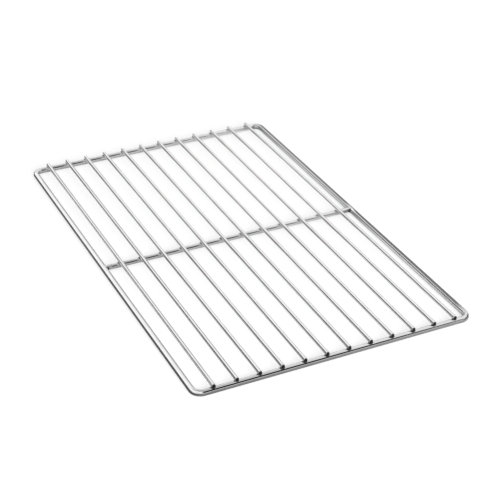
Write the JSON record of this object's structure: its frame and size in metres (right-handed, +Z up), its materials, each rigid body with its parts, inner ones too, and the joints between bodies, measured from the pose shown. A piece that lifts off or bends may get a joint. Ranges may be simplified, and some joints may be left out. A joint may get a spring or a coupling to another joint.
{
  "type": "oven shelf rack",
  "caption": "Flat welded wire shelf rack for an oven: a rounded rectangular frame wire with a crossbar carries a row of straight rods that hold pans and trays.",
  "frame": {"origin": "under the middle of the rack, on the plane it rests on", "axes": "+X across the rods, +Y along the rods and the long sides, +Z up, rods on top"},
  "size_m": [0.325, 0.53, 0.0113],
  "materials": {
    "bright_steel": "bright electropolished stainless steel wire"
  },
  "bodies": {
    "root": {"frame": "bright_steel", "crossbar": "bright_steel", "rod_01": "bright_steel", "rod_02": "bright_steel", "rod_03": "bright_steel", "rod_04": "bright_steel", "rod_05": "bright_steel", "rod_06": "bright_steel", "rod_07": "bright_steel", "rod_08": "bright_steel", "rod_09": "bright_steel", "rod_10": "bright_steel", "rod_11": "bright_steel", "rod_12": "bright_steel"}
  },
  "joints": []
}
